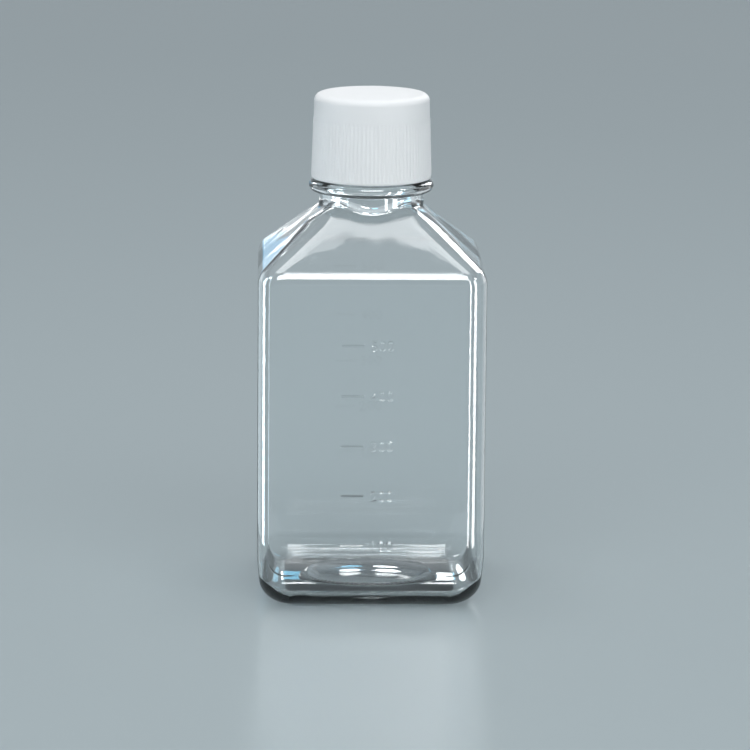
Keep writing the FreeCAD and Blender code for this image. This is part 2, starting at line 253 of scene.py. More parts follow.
FLAT_END = math.atan2(31, 38)      # where a flat side ends and a corner begins, seen from the axis
CORNER_STEPS = 16
FLAT_SHARES = (
    0.0, 0.012, 0.05, 0.11, 0.18, 0.26, 0.34, 0.42, 0.50, 0.58, 0.66, 0.74, 0.82, 0.90, 0.96, 1.0,
)
KNURL_STEPS = 6                    # columns for each knurl
RIB_STEPS = 4                      # columns for each rib
RIB_FOOT = ((0, 0), (0.25 * MM, 0.85), (0.6 * MM, 1))    # height above the ribs' foot, share of depth
RIB_HEAD = ((-0.9 * MM, 1), (-0.35 * MM, 0.8), (0, 0), (0.6 * MM, 0))    # the same at their head
LINER_COLUMNS = 144
NECK_THREAD_ROWS = 90              # rows that the neck is cut into where its thread runs
CAP_THREAD_ROWS = 64
THREAD_FADE = 0.12                 # turns in which a thread rises at its start and its end
SHARP_ANGLE = 35                   # degrees at which an edge is shaded sharp
SAME = 1e-6                        # places closer than this are one place


def square_columns():
    """The columns of the body's skin: quarter, angle along a flat, share round a corner."""
    flats = [-s for s in reversed(FLAT_SHARES[1:])] + list(FLAT_SHARES)
    corners = [step / CORNER_STEPS for step in range(1, CORNER_STEPS)]
    quarter = [(FLAT_END * s, None) for s in flats] + [(FLAT_END, share) for share in corners]
    return [(number, *column) for number in range(4) for column in quarter]


COLUMNS = square_columns()


def on_square(half, corner, height):
    """Places a column on a square with rounded corners."""

    def place(number):
        quarter, angle, share = COLUMNS[number]
        flat = half - corner
        if share is None:
            point = Vector((half, flat * math.tan(angle) / math.tan(FLAT_END), height))
        else:
            turn = share * math.pi / 2
            point = Vector((flat + corner * math.cos(turn), flat + corner * math.sin(turn), height))
        return Matrix.Rotation(quarter * math.pi / 2, 3, "Z") @ point

    return place


def column_angle(number):
    """The direction of a column from the axis, where the skin is round."""
    quarter, angle, share = COLUMNS[number]
    if share is not None:
        angle += (math.pi / 2 - 2 * FLAT_END) * share
    return angle + quarter * math.pi / 2


def on_circle(radius, height, angle_of=column_angle):
    """Places a column on a circle. height is a number, or a function of x and y."""

    def place(number):
        angle = angle_of(number)
        x, y = radius * math.cos(angle), radius * math.sin(angle)
        return Vector((x, y, height(x, y) if callable(height) else height))

    return place


def even(count):
    """Column angles of a skin whose columns are evenly spaced."""
    return lambda number: 2 * math.pi * number / count


def first_ring(mesh, count, place):
    """A closed ring of edges, its vertices numbered in the mesh's column layer."""
    column = mesh.verts.layers.int.get("column") or mesh.verts.layers.int.new("column")
    verts = bmesh.ops.create_circle(mesh, cap_ends=False, segments=count, radius=1)["verts"]
    for number, vert in enumerate(verts):
        vert[column] = number
        vert.co = place(number)
    return list({edge for vert in verts for edge in vert.link_edges})


def grow(mesh, ring, *places):
    """Extrudes a ring once for each place. Returns the rings, the first one included."""
    column = mesh.verts.layers.int["column"]
    rings = [ring]
    for place in places:
        made = bmesh.ops.extrude_edge_only(mesh, edges=rings[-1])["geom"]
        verts = {item for item in made if isinstance(item, bmesh.types.BMVert)}
        for vert in verts:
            vert.co = place(vert[column])
        edges = {edge for vert in verts for edge in vert.link_edges}
        rings.append([edge for edge in edges if verts.issuperset(edge.verts)])
    return rings


def close(mesh, ring, height):
    """Gathers a ring into one point on the axis."""
    verts = list({vert for edge in ring for vert in edge.verts})
    bmesh.ops.pointmerge(mesh, verts=verts, merge_co=Vector((0, 0, height)))


def rounded(mesh, ring, offset, segments):
    """Rounds the edge along a ring, starting offset away from it."""
    bmesh.ops.bevel(
        mesh,
        geom=ring,
        offset=offset,
        offset_type="OFFSET",
        segments=segments,
        profile=0.5,
        affect="EDGES",
        material=-1,
        clamp_overlap=False,
    )


def round_over(radius, turn):
    """How far from a corner that turns the surface by turn its rounding starts."""
    return radius * math.tan(turn / 2)


def circle_arc(centre_radius, centre_height, radius, start, stop, steps):
    """Places for rings along an arc of the outline, between two angles from level."""
    places = []
    for step in range(steps + 1):
        angle = start + (stop - start) * step / steps
        r = centre_radius + radius * math.cos(angle)
        places.append(on_circle(r, centre_height + radius * math.sin(angle)))
    return places


def slice_rows(mesh, radius, low, high, rows):
    """Cuts the upright edges of a round wall into rows."""
    walls = []
    for edge in mesh.edges:
        a, b = (vert.co for vert in edge.verts)
        on_wall = abs(a.xy.length - radius) < SAME and abs(b.xy.length - radius) < SAME
        upright = (a.xy - b.xy).length < SAME
        if on_wall and upright and min(a.z, b.z) < low and max(a.z, b.z) > high:
            walls.append(edge)
    bmesh.ops.subdivide_edges(mesh, edges=walls, cuts=rows, use_grid_fill=True)


def smooth_step(value):
    """Eases from 0 to 1, level at both ends."""
    value = min(max(value, 0), 1)
    return value * value * (3 - 2 * value)


def thread_profile(co, start, pitch, turns, root, crest):
    """Share of a thread's full height at a point: 1 on its crest, 0 off the thread."""
    around = (math.atan2(co.y, co.x) / (2 * math.pi)) % 1
    turn = around + round((co.z - start) / pitch - around)
    if not 0 < turn < turns:
        return 0
    off = abs(co.z - start - pitch * turn)
    flank = (root / 2 - off) / ((root - crest) / 2)
    fade = smooth_step(turn / THREAD_FADE) * smooth_step((turns - turn) / THREAD_FADE)
    return min(max(flank, 0), 1) * fade


def neck_thread_start(neck):
    """Height at which the middle of the neck's thread starts."""
    top = neck.lip - neck.thread_from_lip
    return top + neck.thread_root / 2 - neck.pitch * neck.thread_turns


def cut_thread(mesh, wall, low, high, reach, profile):
    """Moves the vertices of a round wall out, or in, by a thread's profile."""
    for vert in mesh.verts:
        if low < vert.co.z < high and abs(vert.co.xy.length - wall) < SAME:
            share = profile(vert.co)
            vert.co.xy *= (wall + reach * share) / wall


def finished(name, mesh, material, body, sharp=SHARP_ANGLE):
    """Makes the object of a finished mesh, which rides on a body of the model."""
    bmesh.ops.recalc_face_normals(mesh, faces=mesh.faces)
    data = bpy.data.meshes.new(name)
    mesh.to_mesh(data)
    mesh.free()
    piece = bpy.data.objects.new(name, data)
    bpy.context.scene.collection.objects.link(piece)
    data.shade_smooth()
    data.set_sharp_from_angle(angle=math.radians(sharp))
    data.materials.append(material)
    even_normals(piece)
    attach(piece, body)
    return piece


def even_normals(piece):
    """Lets the large faces decide the shading, so that flats look flat beside a rounding."""
    modifier = piece.modifiers.new("even_normals", "WEIGHTED_NORMAL")
    modifier.weight = 80
    modifier.keep_sharp = True


# ---- shader helpers --------------------------------------------------------


class Value:
    """A shader socket that can be used in sums: each operator adds its Math node."""

    def __init__(self, shader, socket):
        self.shader = shader
        self.socket = socket

    def maths(self, operation, *values):
        """Adds a Math node and returns its result."""
        node = self.shader.node("ShaderNodeMath", {"operation": operation}, dict(enumerate(values)))
        return Value(self.shader, node.outputs[0])

    def __add__(self, other):
        return self.maths("ADD", self, other)

    def __sub__(self, other):
        return self.maths("SUBTRACT", self, other)

    def __rsub__(self, other):
        return self.maths("SUBTRACT", other, self)

    def __mul__(self, other):
        return self.maths("MULTIPLY", self, other)

    def __pow__(self, other):
        return self.maths("POWER", self, other)

    __radd__ = __add__
    __rmul__ = __mul__


class Shader:
    """A node tree that is built by calls: settings first, then values or links."""

    def __init__(self, tree):
        self.tree = tree
        tree.nodes.clear()

    def node(self, kind, settings=None, inputs=None):
        """Adds a node. An input that is a Value is linked, and any other is set."""
        node = self.tree.nodes.new(kind)
        for name, setting in (settings or {}).items():
            if name == "stops":
                self.set_stops(node.color_ramp.elements, setting)
            else:
                setattr(node, name, setting)
        for key, value in (inputs or {}).items():
            if isinstance(value, Value):
                self.tree.links.new(value.socket, node.inputs[key])
            else:
                node.inputs[key].default_value = value
        return node

    def set_stops(self, elements, stops):
        """Sets a colour ramp's stops: a position and a colour each."""
        while len(elements) < len(stops):
            elements.new(1)
        for element, (position, shown) in zip(elements, stops):
            element.position = position
            element.color = (*shown, 1)

    def value(self, kind, output, settings=None, inputs=None):
        """Adds a node and returns one of its outputs."""
        return Value(self, self.node(kind, settings, inputs).outputs[output])

    def place(self, scale):
        """Object coordinates, scaled along each axis."""
        coordinates = self.value("ShaderNodeTexCoord", "Object")
        return self.value("ShaderNodeMapping", "Vector", {}, {"Vector": coordinates, "Scale": scale})

    def noise(self, scale, detail=2.0, stretch=(1, 1, 1)):
        """Noise from 0 to 1, scale being how often it changes in a metre."""
        inputs = {"Vector": self.place(stretch), "Scale": scale, "Detail": detail}
        return self.value("ShaderNodeTexNoise", "Fac", {}, inputs)

    def bump(self, height, distance):
        """A normal from heights between 0 and 1, distance being what 1 stands for."""
        inputs = {"Height": height, "Distance": distance, "Strength": 1.0}
        return self.value("ShaderNodeBump", "Normal", {}, inputs)

    def mix(self, factor, first, second):
        """A blend of two colours."""
        settings = {"data_type": "RGBA"}
        inputs = {0: factor, 6: (*first, 1), 7: (*second, 1)}
        return self.value("ShaderNodeMix", 2, settings, inputs)


def material(name):
    """A new material and its shader."""
    made = bpy.data.materials.new(name)
    made.use_nodes = True
    return made, Shader(made.node_tree)


def principled(shader, inputs):
    """Ends a material with its Principled surface."""
    surface = shader.value("ShaderNodeBsdfPrincipled", "BSDF", {}, inputs)
    shader.node("ShaderNodeOutputMaterial", {}, {"Surface": surface})


def shade(colour_value, factor):
    """A colour made darker by a factor."""
    return tuple(channel * factor for channel in colour_value)


# ---- materials -------------------------------------------------------------


def clear_plastic(tint):
    """Blown clear plastic: glassy, with the slow waves of a blown wall."""
    made, shader = material("clear_plastic")
    waves = shader.noise(26, 1.0, (1, 1, 0.45)) + shader.noise(90, 1.0, (1, 1, 0.2)) * 0.12
    haze = shader.noise(180, 3.0)
    principled(
        shader,
        {
            "Base Color": (*tint, 1),
            "Roughness": 0.012 + 0.016 * haze,
            "IOR": 1.57,
            "Transmission Weight": 1.0,
            "Normal": shader.bump(waves, 0.00022),
        },
    )
    return made


def white_cap_plastic(white):
    """Moulded white plastic with a satin skin."""
    made, shader = material("white_cap_plastic")
    cloud = shader.noise(60, 3.0)
    grain = shader.noise(2600, 2.0)
    principled(
        shader,
        {
            "Base Color": shader.mix(cloud, shade(white, 0.985), white),
            "Roughness": 0.50 + 0.10 * cloud + 0.06 * grain,
            "IOR": 1.52,
            "Specular IOR Level": 0.15,
            "Subsurface Weight": 0.12,
            "Subsurface Radius": (1.0, 1.0, 1.0),
            "Subsurface Scale": 0.0012,
            "Normal": shader.bump(grain, 0.00003),
        },
    )
    return made


def foam(white):
    """Closed-cell foam with fine pores."""
    made, shader = material("foam")
    cells = shader.value(
        "ShaderNodeTexVoronoi", "Distance", {}, {"Vector": shader.place((1, 1, 1)), "Scale": 2600}
    )
    principled(
        shader,
        {
            "Base Color": shader.mix(cells, shade(white, 0.93), white),
            "Roughness": 0.62 + 0.2 * cells,
            "Normal": shader.bump(cells, 0.00006),
        },
    )
    return made


def floor_surface(tone):
    """A plain satin table top."""
    made, shader = material("floor_surface")
    cloud = shader.noise(1.3, 2.0)
    principled(
        shader,
        {
            "Base Color": shader.mix(cloud, shade(tone, 0.985), tone),
            "Roughness": 0.26 + 0.04 * cloud,
            "Specular IOR Level": 0.25,
        },
    )
    return made


# ---- the bottle ------------------------------------------------------------

HEEL_CURVE = 1.25                  # 1 would draw the heel in along a straight line
HEEL_BAND = 0.6                    # the lowest band's share of the heel's height
HEEL_BAND_INSET = 0.68             # and of its inset
NECK_RIDGE_REACH = 17.65 * MM * math.cos(math.pi / 4)    # where a ridge meets the neck, in x and in y
HALVINGS = 40
KNURL_ENDS = ((0, 0), (0.6, 0.08), (1, 0.2), (1, 0.8), (0.6, 0.92), (0, 1))    # depth, place along
FIGURE_SHARE = 0.69                # a figure's height as a share of the text's size


class Outline:
    """The body's square sections, for the outside or, with an inset, the inside."""

    def __init__(self, body, inset):
        self.body = body
        self.inset = inset
        self.half = body.width / 2 - inset
        self.edge_drop = inset * (1 - math.sin(body.slope)) / math.cos(body.slope)
        self.edge = body.side_height - self.edge_drop

    def shoulder_square(self, height):
        """Half width and corner radius of the shoulder at a height."""
        half = self.half - (height - self.edge) / math.tan(self.body.slope)
        share = (height - self.edge) / self.shoulder_rise()
        corner = self.body.corner - self.inset
        return half, corner + (self.body.ridge - self.inset - corner) * share

    def shoulder_rise(self):
        """Height from the shoulder's edge to where its ridges would end."""
        ridge_reach = self.body.width / 2 - NECK_RIDGE_REACH
        return ridge_reach * math.tan(self.body.slope) + MM

    def shoulder_height(self, x, y):
        """Height of the shoulder's surface above a point, found by halving."""
        low, high = self.edge, self.edge + self.shoulder_rise() * 1.2
        for _ in range(HALVINGS):
            middle = (low + high) / 2
            half, corner = self.shoulder_square(middle)
            out_x = abs(x) - (half - corner)
            out_y = abs(y) - (half - corner)
            outside = math.hypot(max(out_x, 0), max(out_y, 0)) + min(max(out_x, out_y), 0) > corner
            if outside:
                high = middle
            else:
                low = middle
        return middle

    def shoulder_rows(self):
        """Places of two sections between the neck and the shoulder's edge."""
        heights = [self.body.side_height + above for above in (14 * MM, 7 * MM)]
        return [on_square(*self.shoulder_square(height), height) for height in heights]

    def heel(self, share):
        """Place of a heel section: share 1 is the heel's top and 0 the base."""
        body = self.body
        inset = body.heel_inset * (1 - share) ** HEEL_CURVE
        corner = body.heel_corner + (body.corner - body.heel_corner) * share - self.inset
        return on_square(self.half - inset, corner, body.heel_height * share)

    def heel_lean(self):
        """How far the lowest band of the heel leans from upright."""
        return math.atan2(self.body.heel_inset * HEEL_BAND_INSET, self.body.heel_height * HEEL_BAND)


def bottle_outside(mesh, ring, body, neck, push_up):
    """From the lip down the outside to the middle of the base."""
    outline = Outline(body, 0)
    ring_top = neck.lip - neck.above_ring
    ring_bottom = ring_top - neck.ring_thickness
    bead = neck.ring_thickness / 2
    _, lip, ring_root = grow(
        mesh,
        ring,
        on_circle(neck.radius, neck.lip),
        on_circle(neck.radius, ring_top),
    )
    rings = grow(
        mesh,
        ring_root,
        *circle_arc(neck.ring - bead, ring_top - bead, bead, math.pi / 2, -math.pi / 2, 12),
        on_circle(neck.radius, ring_bottom),
        on_circle(neck.radius, outline.shoulder_height),
    )
    ring_foot, neck_foot = rings[-2], rings[-1]
    _, *shoulder = grow(
        mesh,
        neck_foot,
        *outline.shoulder_rows(),
        on_square(outline.half, body.corner, outline.edge),
    )
    _, *heel = grow(
        mesh, shoulder[-1], *[outline.heel(share) for share in (1, 0.9, 0.8, 0.7, HEEL_BAND, 0)]
    )
    _, base = grow(mesh, heel[-1], on_circle(push_up.radius + push_up.flank + MM, 0))
    rounded(mesh, lip, round_over(neck.lip_edge, math.pi / 2), 5)
    rounded(mesh, ring_root, 0.4 * MM, 4)
    rounded(mesh, ring_foot, 0.4 * MM, 4)
    rounded(mesh, neck_foot, round_over(neck.foot, math.pi / 2 - body.slope), 7)
    rounded(mesh, shoulder[-1], round_over(body.shoulder_edge, math.pi / 2 - body.slope), 12)
    rounded(mesh, heel[-1], round_over(body.heel_edge, math.pi / 2 - outline.heel_lean()), 14)
    return base


def dome_height(push_up, radius):
    """Height of the dome over a distance from the axis."""
    rise = push_up.height - push_up.rim_height
    sphere = (push_up.radius ** 2 + rise ** 2) / (2 * rise)
    return push_up.height - sphere + math.sqrt(sphere ** 2 - radius ** 2)


def bottle_base(mesh, base, push_up):
    """The raised middle of the base, with its ring of knurls."""
    count = push_up.knurls * KNURL_STEPS
    angles = even(count)
    foot = push_up.radius + push_up.flank
    knurl_out = push_up.radius - push_up.knurl_margin
    knurl_in = knurl_out - push_up.knurl_length

    def knurled(radius, share):
        """Places a column on the dome, lower on a knurl: share is that of its depth."""

        def place(number):
            wave = 0.5 + 0.5 * math.cos(2 * math.pi * number / KNURL_STEPS)
            drop = push_up.knurl_depth * share * smooth_step(1.6 * wave - 0.3)
            return on_circle(radius, dome_height(push_up, radius) - drop, angles)(number)

        return place

    dome = [knurled(push_up.radius - 0.2 * MM, 0)]
    for share, along in KNURL_ENDS:
        dome.append(knurled(knurl_out + (knurl_in - knurl_out) * along, share))
    dome += [knurled(radius * MM, 0) for radius in (17, 13, 9, 5, 2)]
    start = first_ring(mesh, count, on_circle(foot, 0, angles))
    bmesh.ops.bridge_loops(mesh, edges=base + start)
    rings = grow(mesh, start, on_circle(push_up.radius, push_up.rim_height, angles), *dome)
    close(mesh, rings[-1], push_up.height)
    rounded(mesh, rings[0], 0.5 * MM, 3)


def bottle_inside(mesh, ring, body, neck, push_up):
    """From the lip down the inside to the middle of the floor."""
    outline = Outline(body, body.wall)
    floor = body.base_wall
    _, neck_foot, *shoulder = grow(
        mesh,
        ring,
        on_circle(neck.bore, outline.shoulder_height),
        *outline.shoulder_rows(),
        on_square(outline.half, body.corner - body.wall, outline.edge),
    )
    floor_share = floor / body.heel_height
    _, *heel = grow(
        mesh, shoulder[-1], *[outline.heel(share) for share in (1, 0.9, 0.8, 0.7, 0.62, floor_share)]
    )
    foot = push_up.radius + push_up.flank
    _, *base = grow(
        mesh,
        heel[-1],
        on_circle(foot + MM, floor),
        on_circle(foot, floor),
        on_circle(push_up.radius, floor + push_up.rim_height),
        *[
            on_circle(radius * MM, floor + dome_height(push_up, radius * MM))
            for radius in (20.5, 18, 14, 10, 6, 2.5)
        ],
    )
    close(mesh, base[-1], floor + push_up.height)
    rounded(mesh, neck_foot, 2.4 * MM, 8)
    rounded(mesh, shoulder[-1], round_over(body.shoulder_edge - body.wall, math.pi / 2 - body.slope), 10)
    rounded(mesh, heel[-1], round_over(body.heel_edge - body.wall, math.pi / 2 - outline.heel_lean()), 14)
    rounded(mesh, base[1], 0.6 * MM, 3)
    rounded(mesh, base[2], 0.5 * MM, 3)


def parting_line(mesh, body, neck):
    """Raises the mould's parting line up both sides, and the weld on the floor."""
    near = 0.01 * MM
    ring_bottom = neck.lip - neck.above_ring - neck.ring_thickness
    for vert in mesh.verts:
        co = vert.co
        if abs(co.y) > near or co.z > ring_bottom:
            continue
        from_side = body.width / 2 - abs(co.x)
        if from_side < body.wall / 2 and co.z > 10 * MM:
            co.x += math.copysign(body.seam, co.x)
        on_floor = body.base_wall - near < co.z < 6 * MM and from_side > 1.2 * MM
        if on_floor and abs(co.x) > 25 * MM:
            wave = 0.75 + 0.5 * noise.noise(Vector((co.x * 700, 0, 0)))
            co.z += body.weld * wave


def mark_stroke(mesh, start, stop, sizes, front):
    """A round-ended bar on the front face, rooted in the wall, with sloping sides."""
    across = sizes.stroke / 2
    rounding = across * 0.96       # just under half the width, so that no edge is used up
    made = bmesh.ops.create_cube(mesh, size=1)["verts"]
    middle = (start + stop) / 2
    bmesh.ops.scale(mesh, vec=(stop - start, 2 * sizes.emboss, 2 * across), verts=made)
    bmesh.ops.translate(mesh, vec=(middle, front, 0), verts=made)
    edges = {edge for vert in made for edge in vert.link_edges}
    ends = [e for e in edges if abs(e.verts[0].co.y - e.verts[1].co.y) > across / 2]
    verts = bmesh.ops.bevel(
        mesh, geom=ends, offset=rounding, offset_type="OFFSET", segments=6,
        profile=0.5, affect="EDGES", material=-1,
    )["verts"]
    for vert in verts:
        grown = sizes.flank * (0.5 + (vert.co.y - front) / sizes.emboss)
        vert.co.z *= 1 + grown / across
        vert.co.x += grown * math.copysign(1, vert.co.x - middle)


def marks_mesh(sizes, front):
    """All bars and numbers as closed solids, half sunk in the front face."""
    mesh = bmesh.new()
    for number in range(sizes.count):
        height = sizes.first + sizes.step * number
        before = set(mesh.verts)
        mark_stroke(mesh, sizes.bar_from, sizes.bar_from + sizes.bar, sizes, front)
        text = bpy.data.curves.new("mark", "FONT")
        text.body = str(sizes.volume * (number + 1))
        text.size = sizes.digit_height / FIGURE_SHARE
        text.bevel_depth = sizes.flank
        text.bevel_resolution = 0
        text.offset = -sizes.flank / 2
        text.resolution_u = 5
        text.space_character = 1.12
        shown = bpy.data.objects.new("mark", text)
        bpy.context.scene.collection.objects.link(shown)
        data = bpy.data.meshes.new_from_object(
            shown.evaluated_get(bpy.context.evaluated_depsgraph_get())
        )
        bpy.data.objects.remove(shown)
        bpy.data.curves.remove(text)
        digits = bmesh.new()
        digits.from_mesh(data)
        bmesh.ops.remove_doubles(digits, verts=digits.verts, dist=1e-7)
        bmesh.ops.scale(digits, vec=(1, 1, sizes.emboss / sizes.flank), verts=digits.verts)
        bmesh.ops.rotate(digits, matrix=Matrix.Rotation(math.pi / 2, 3, "X"), verts=digits.verts)
        bmesh.ops.translate(
            digits, vec=(sizes.digits_from, front, -sizes.digit_height / 2), verts=digits.verts
        )
        digits.to_mesh(data)
        digits.free()
        mesh.from_mesh(data)
        bpy.data.meshes.remove(data)
        new = [vert for vert in mesh.verts if vert not in before]
        bmesh.ops.translate(mesh, vec=(0, 0, height), verts=new)
    bmesh.ops.recalc_face_normals(mesh, faces=mesh.faces)
    return mesh


def join_solids(piece, mesh):
    """Joins closed solids to a piece as one skin."""
    data = bpy.data.meshes.new("joined")
    mesh.to_mesh(data)
    mesh.free()
    tool = bpy.data.objects.new("joined", data)
    bpy.context.scene.collection.objects.link(tool)
    piece.modifiers.clear()
    modifier = piece.modifiers.new("join", "BOOLEAN")
    modifier.operation = "UNION"
    modifier.solver = "MANIFOLD"
    modifier.object = tool
    bpy.context.view_layer.update()
    joined = bpy.data.meshes.new_from_object(
        piece.evaluated_get(bpy.context.evaluated_depsgraph_get())
    )
    piece.modifiers.clear()
    bpy.data.objects.remove(tool)
    bpy.data.meshes.remove(data)
    old = piece.data
    piece.data = joined
    bpy.data.meshes.remove(old)
    joined.name = piece.name
    joined.shade_smooth()
    joined.set_sharp_from_angle(angle=math.radians(SHARP_ANGLE))
    even_normals(piece)


class BOTTLE_OT_bottle(bpy.types.Operator):
    """Make the clear bottle with its thread, knurled base and graduations"""

    bl_idname = "media_bottle.bottle"
    bl_label = "Bottle"

    def execute(self, context):
        settings = context.scene.media_bottle
        body, neck, push_up = settings.body, settings.neck, settings.push_up
        mesh = bmesh.new()
        lip = first_ring(mesh, len(COLUMNS), on_circle(neck.bore, neck.lip))
        base = bottle_outside(mesh, lip, body, neck, push_up)
        bottle_inside(mesh, lip, body, neck, push_up)
        bottle_base(mesh, base, push_up)
        parting_line(mesh, body, neck)
        thread_start = neck_thread_start(neck)
        low, high = thread_start - neck.thread_root, neck.lip - neck.thread_from_lip + MM
        slice_rows(mesh, neck.radius, low, high, NECK_THREAD_ROWS)
        cut_thread(
            mesh, neck.radius, low, high, neck.thread_height,
            lambda co: thread_profile(
                co, thread_start, neck.pitch, neck.thread_turns, neck.thread_root, neck.thread_crest
            ),
        )
        piece = finished("clear_bottle", mesh, clear_plastic(settings.finishes.clear), "bottle")
        join_solids(piece, marks_mesh(settings.marks, -body.width / 2))
        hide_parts("bottle")
        return {"FINISHED"}


# ---- cap and liner ---------------------------------------------------------


class BOTTLE_OT_cap(bpy.types.Operator):
    """Make the white screw cap with its ribs and inner thread"""

    bl_idname = "media_bottle.cap"
    bl_label = "Screw cap"

    def execute(self, context):
        settings = context.scene.media_bottle
        sizes, neck = settings.cap, settings.neck
        count = sizes.ribs * RIB_STEPS
        angles = even(count)
        rise = sizes.top - sizes.foot
        roof = settings.liner.high

        def wall(height, ribbed):
            """Places a column on the outside, ribbed being the share of a rib's depth."""
            radius = sizes.foot_radius - sizes.draft * (height - sizes.foot) / rise

            def place(number):
                wave = 0.5 - 0.5 * math.cos(2 * math.pi * number / RIB_STEPS)
                r = radius + ribbed * (sizes.rib_raised - sizes.rib_depth * wave)
                return on_circle(r, height, angles)(number)

            return place

        mesh = bmesh.new()
        inner_foot = first_ring(mesh, count, on_circle(sizes.root, sizes.foot, angles))
        rib_low, rib_high = sizes.foot + sizes.foot_band, sizes.top - sizes.band
        outside = grow(
            mesh,
            inner_foot,
            wall(sizes.foot, 0),
            *[wall(rib_low + above, share) for above, share in RIB_FOOT],
            *[wall(rib_high + above, share) for above, share in RIB_HEAD],
            wall(sizes.top, 0),
            *[on_circle(radius * MM, sizes.top, angles) for radius in (15, 9, 3)],
        )
        close(mesh, outside[-1], sizes.top)
        inside = grow(
            mesh,
            inner_foot,
            on_circle(sizes.root, sizes.step, angles),
            on_circle(sizes.top_bore, sizes.step, angles),
            on_circle(sizes.top_bore, roof, angles),
            *[on_circle(radius * MM, roof, angles) for radius in (12, 4)],
        )
        close(mesh, inside[-1], roof)
        rounded(mesh, outside[9], sizes.edge, 10)
        rounded(mesh, outside[1], sizes.foot_edge, 4)
        rounded(mesh, inner_foot, 0.3 * MM, 3)
        thread_start = neck_thread_start(neck) - sizes.thread_drop
        low = thread_start - sizes.thread_root
        high = thread_start + neck.pitch * sizes.thread_turns
        slice_rows(mesh, sizes.root, low, high, CAP_THREAD_ROWS)
        cut_thread(
            mesh, sizes.root, low, sizes.step - 0.01 * MM, -sizes.thread_height,
            lambda co: thread_profile(
                co, thread_start, neck.pitch, sizes.thread_turns, sizes.thread_root, sizes.thread_crest
            ),
        )
        plastic = white_cap_plastic(settings.finishes.cap)
        piece = finished("screw_cap", mesh, plastic, "cap", sharp=50)
        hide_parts("cap")
        return {"FINISHED"}


class BOTTLE_OT_liner(bpy.types.Operator):
    """Make the foam disc that seals the lip"""

    bl_idname = "media_bottle.liner"
    bl_label = "Cap liner"

    def execute(self, context):
        settings = context.scene.media_bottle
        sizes = settings.liner
        angles = even(LINER_COLUMNS)
        mesh = bmesh.new()
        low_edge = first_ring(mesh, LINER_COLUMNS, on_circle(sizes.radius, sizes.low, angles))
        below = grow(mesh, low_edge, *[on_circle(r * MM, sizes.low, angles) for r in (16, 9, 3)])
        close(mesh, below[-1], sizes.low)
        above = grow(
            mesh,
            low_edge,
            on_circle(sizes.radius, sizes.high, angles),
            *[on_circle(r * MM, sizes.high, angles) for r in (16, 9, 3)],
        )
        close(mesh, above[-1], sizes.high)
        rounded(mesh, above[1], sizes.edge, 3)
        rounded(mesh, low_edge, sizes.edge, 3)
        piece = finished("foam_liner", mesh, foam(settings.finishes.liner), "liner")
        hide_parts("cap_liner")
        return {"FINISHED"}


# ---- studio ----------------------------------------------------------------


def soft_lamp(name, place, aim, size, radiance, tint=(1, 1, 1)):
    """A softbox that points at aim. radiance is how bright its face looks."""
    lamp = bpy.data.lights.new(name, "AREA")
    lamp.shape = "RECTANGLE"
    lamp.size, lamp.size_y = size
    lamp.energy = radiance * math.pi * size[0] * size[1]
    lamp.color = tint
    holder = bpy.data.objects.new(name, lamp)
    bpy.context.scene.collection.objects.link(holder)
    holder.location = place
    holder.rotation_euler = (Vector(aim) - Vector(place)).to_track_quat("-Z", "Y").to_euler()
    holder.visible_camera = False
    return holder


def card(*lamp):
    """A softbox that shows in gloss and glass and doesn't light anything else."""
    holder = soft_lamp(*lamp)
    holder.visible_diffuse = False
    return holder


def edge_card(*lamp):
    """A card that shows in outer surfaces only, and not through the glass."""
    holder = card(*lamp)
    holder.visible_transmission = False
    return holder


def glass_card(*lamp):
    """A round-ended card that shows through the glass only."""
    holder = card(*lamp)
    holder.visible_glossy = False
    holder.data.shape = "ELLIPSE"
    return holder


def surroundings(strength):
    """A pale world, darker between the horizon and the lamps overhead."""
    world = bpy.data.worlds.new("studio")
    bpy.context.scene.world = world
    world.use_nodes = True
    shader = Shader(world.node_tree)
    direction = shader.value("ShaderNodeTexCoord", "Generated")
    rise = shader.value("ShaderNodeSeparateXYZ", "Z", {}, {"Vector": direction})
    stops = (
        (0.0, (0.90, 0.96, 1.0)),
        (0.12, (0.80, 0.88, 0.93)),
        (0.3, (0.35, 0.41, 0.45)),
        (0.8, (0.62, 0.65, 0.67)),
    )
    sky = shader.value("ShaderNodeValToRGB", "Color", {"stops": stops}, {"Fac": rise})
    background = shader.value(
        "ShaderNodeBackground", "Background", {}, {"Color": sky, "Strength": strength}
    )
    shader.node("ShaderNodeOutputWorld", {}, {"Surface": background})


